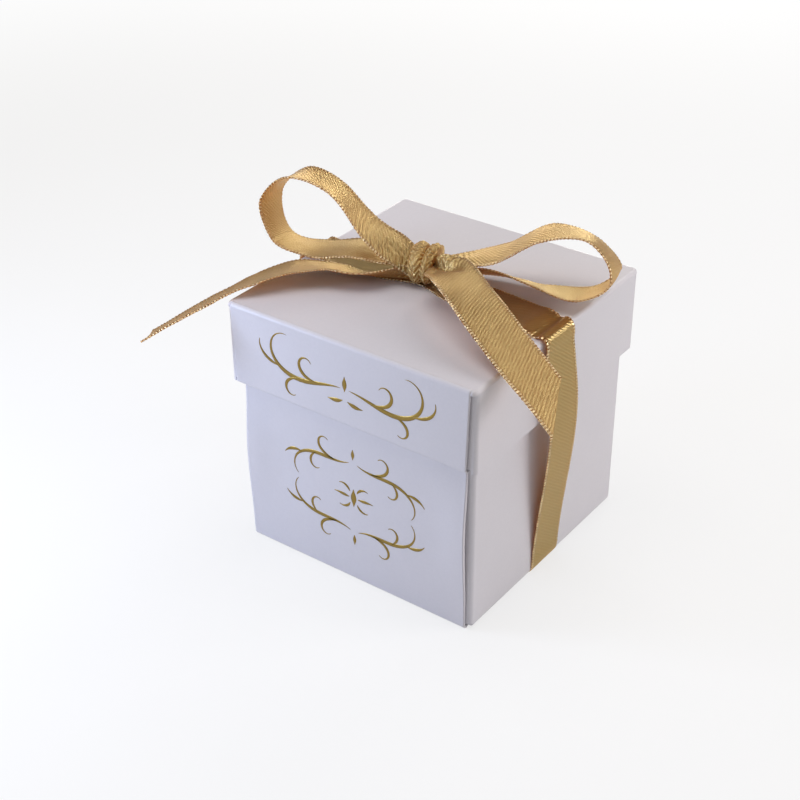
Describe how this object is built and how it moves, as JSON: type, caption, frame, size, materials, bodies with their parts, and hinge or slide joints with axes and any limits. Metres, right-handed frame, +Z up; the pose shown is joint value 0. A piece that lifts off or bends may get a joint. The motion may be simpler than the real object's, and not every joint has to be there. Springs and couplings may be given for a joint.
{
  "type": "favor box",
  "caption": "Small square card gift box with a lift-off lid, tied round with a satin ribbon and a bow.",
  "frame": {"origin": "centre of the box's footprint, on the surface that it stands on", "axes": "+Z up, -Y out of the printed front, +X to the right seen from the front; the ribbon runs round the box in the X and Z directions"},
  "size_m": [0.0813, 0.0657, 0.0687],
  "materials": {
    "card": "pearlescent white card",
    "card_inside": "plain white card",
    "ribbon": "gold satin"
  },
  "bodies": {
    "base": {"base_floor": "card_inside", "base_front_wall": "card", "base_back_wall": "card", "base_left_wall": "card", "base_right_wall": "card", "base_front_liner": "card_inside", "base_back_liner": "card_inside", "base_tab_front_left": "card", "base_tab_front_right": "card", "base_tab_back_left": "card", "base_tab_back_right": "card", "ribbon_bottom_run": "ribbon", "ribbon_left_side": "ribbon", "ribbon_right_side": "ribbon"},
    "lid": {"lid_top": "card", "lid_front_skirt": "card", "lid_back_skirt": "card", "lid_left_skirt": "card", "lid_right_skirt": "card", "lid_front_liner": "card_inside", "lid_back_liner": "card_inside", "lid_tab_front_left": "card", "lid_tab_front_right": "card", "lid_tab_back_left": "card", "lid_tab_back_right": "card", "ribbon_top_left": "ribbon", "ribbon_top_right": "ribbon", "bow_knot": "ribbon", "bow_left_loop": "ribbon", "bow_right_loop": "ribbon", "bow_left_tail": "ribbon", "bow_right_tail": "ribbon"}
  },
  "joints": [
    {"name": "lid_lift", "type": "slide", "parent": "base", "child": "lid", "axis": [0, 0, 1], "range_m": [0, 0.024], "deforming": ["ribbon_left_side", "ribbon_right_side"]}
  ]
}
